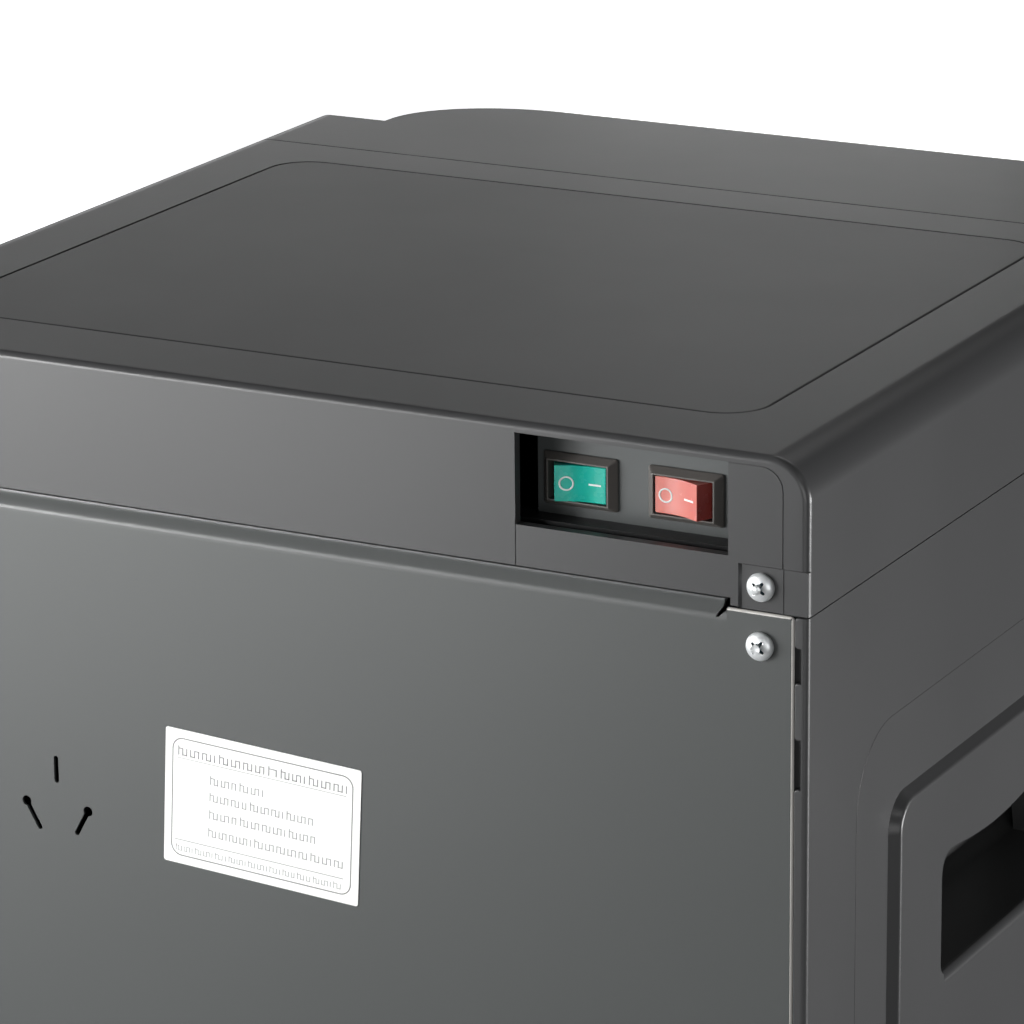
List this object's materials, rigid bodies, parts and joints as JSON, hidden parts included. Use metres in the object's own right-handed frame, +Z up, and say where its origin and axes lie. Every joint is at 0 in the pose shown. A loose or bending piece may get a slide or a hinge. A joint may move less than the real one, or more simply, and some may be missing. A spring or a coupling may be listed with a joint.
{
  "type": "countertop water dispenser",
  "caption": "Countertop hot and cold water dispenser: boxy casing with inset top plate, rear rocker switches, side hand grips, front bay with paddle taps and a pull-out drip tray.",
  "frame": {"origin": "on the surface it stands on, under the middle of the bounding box", "axes": "+Z up, -Y the front with the taps, +X to the right seen from the front"},
  "size_m": [0.3162, 0.3446, 0.4],
  "materials": {
    "casing_plastic": "semi-matt moulded charcoal plastic",
    "deck_plate": "matt moulded charcoal plastic",
    "dark_plastic": "matt black plastic",
    "gloss_black": "polished black plastic",
    "painted_sheet": "smooth grey powder coat on thin sheet",
    "zinc": "bright zinc plate",
    "stainless": "plain stainless",
    "aluminium": "extruded aluminium",
    "rubber": "matt black rubber",
    "paper": "printed white sticker",
    "foam": "moulded insulating foam",
    "green_lamp": "translucent green rocker",
    "red_lamp": "translucent red rocker",
    "lens": "clear tinted lens",
    "white_plastic": "natural white plastic",
    "board": "circuit board",
    "silicone": "clear-white silicone tube",
    "ceramic": "unglazed ceramic"
  },
  "bodies": {
    "casing": {"top_cover": "casing_plastic", "top_panel": "deck_plate", "front_fascia": "casing_plastic", "front_frame": "casing_plastic", "bay_liner": "dark_plastic", "side_panel_right": "casing_plastic", "side_panel_left": "casing_plastic", "handle_cup_right": "dark_plastic", "handle_cup_left": "dark_plastic", "rear_panel": "painted_sheet", "spec_label": "paper", "base_pan": "dark_plastic", "foot_front_left": "rubber", "foot_front_right": "rubber", "foot_rear_left": "rubber", "foot_rear_right": "rubber", "cover_screw_left": "zinc", "cover_screw_right": "zinc", "panel_screw_upper_left": "zinc", "panel_screw_upper_right": "zinc", "panel_screw_lower_left": "zinc", "panel_screw_lower_right": "zinc", "cord_gland": "rubber", "water_inlet": "white_plastic", "drain_outlet": "white_plastic", "switch_bracket": "painted_sheet", "cold_switch_body": "dark_plastic", "hot_switch_body": "dark_plastic", "control_panel": "gloss_black", "heating_lens": "lens", "cooling_lens": "lens", "hot_valve": "white_plastic", "hot_spout": "dark_plastic", "hot_lever_pin": "stainless", "cold_valve": "white_plastic", "cold_spout": "dark_plastic", "cold_lever_pin": "stainless", "hot_tank": "stainless", "heater_band": "ceramic", "cold_tank": "foam", "thermoelectric_module": "ceramic", "heat_sink": "aluminium", "fan_frame": "dark_plastic", "power_board": "board", "pump": "white_plastic", "feed_hose": "silicone", "hot_hose": "silicone", "cold_hose": "silicone"},
    "cold_rocker": {"cold_rocker": "green_lamp"},
    "hot_rocker": {"hot_rocker": "red_lamp"},
    "child_lock": {"child_lock": "dark_plastic"},
    "hot_lever": {"hot_lever": "dark_plastic"},
    "cold_lever": {"cold_lever": "dark_plastic"},
    "hot_plunger": {"hot_plunger": "white_plastic"},
    "cold_plunger": {"cold_plunger": "white_plastic"},
    "drip_tray": {"drip_tray": "casing_plastic"},
    "drip_grille": {"drip_grille": "dark_plastic"},
    "fan_rotor": {"fan_rotor": "dark_plastic"},
    "drain_cap": {"drain_cap": "dark_plastic"}
  },
  "joints": [
    {"name": "cold_rocker_hinge", "type": "hinge", "parent": "casing", "child": "cold_rocker", "pos_m": [-0.0857, 0.13915, 0.3826], "axis": [0, 0, 1], "range_deg": [-26, 0]},
    {"name": "hot_rocker_hinge", "type": "hinge", "parent": "casing", "child": "hot_rocker", "pos_m": [-0.1155, 0.13915, 0.3826], "axis": [0, 0, 1], "range_deg": [0, 26]},
    {"name": "child_lock_slide", "type": "slide", "parent": "casing", "child": "child_lock", "axis": [1, 0, 0], "range_m": [0, 0.012]},
    {"name": "hot_lever_hinge", "type": "hinge", "parent": "casing", "child": "hot_lever", "pos_m": [-0.038, -0.09775, 0.284], "axis": [1, 0, 0], "range_deg": [0, 12], "stiffness_Nm_per_rad": 0.15, "springref_deg": -11.46},
    {"name": "cold_lever_hinge", "type": "hinge", "parent": "casing", "child": "cold_lever", "pos_m": [0.038, -0.09775, 0.284], "axis": [1, 0, 0], "range_deg": [0, 12], "stiffness_Nm_per_rad": 0.15, "springref_deg": -11.46},
    {"name": "hot_plunger_slide", "type": "slide", "parent": "casing", "child": "hot_plunger", "axis": [0, -1, 0], "range_m": [0, 0.0034]},
    {"name": "cold_plunger_slide", "type": "slide", "parent": "casing", "child": "cold_plunger", "axis": [0, -1, 0], "range_m": [0, 0.0034]},
    {"name": "drip_tray_slide", "type": "slide", "parent": "casing", "child": "drip_tray", "axis": [0, -1, 0], "range_m": [0, 0.12]},
    {"name": "drip_grille_lift", "type": "slide", "parent": "drip_tray", "child": "drip_grille", "axis": [0, 0, 1], "range_m": [0, 0.05]},
    {"name": "fan_spin", "type": "hinge", "parent": "casing", "child": "fan_rotor", "pos_m": [0.068, 0.13725, 0.125], "axis": [0, 1, 0], "continuous": true},
    {"name": "drain_cap_pull", "type": "slide", "parent": "casing", "child": "drain_cap", "axis": [0, 1, 0], "range_m": [0, 0.022]}
  ],
  "couplings": [
    {"joint": "hot_plunger_slide", "follows": "hot_lever_hinge", "m_per_rad": 0.016},
    {"joint": "cold_plunger_slide", "follows": "cold_lever_hinge", "m_per_rad": 0.016}
  ]
}
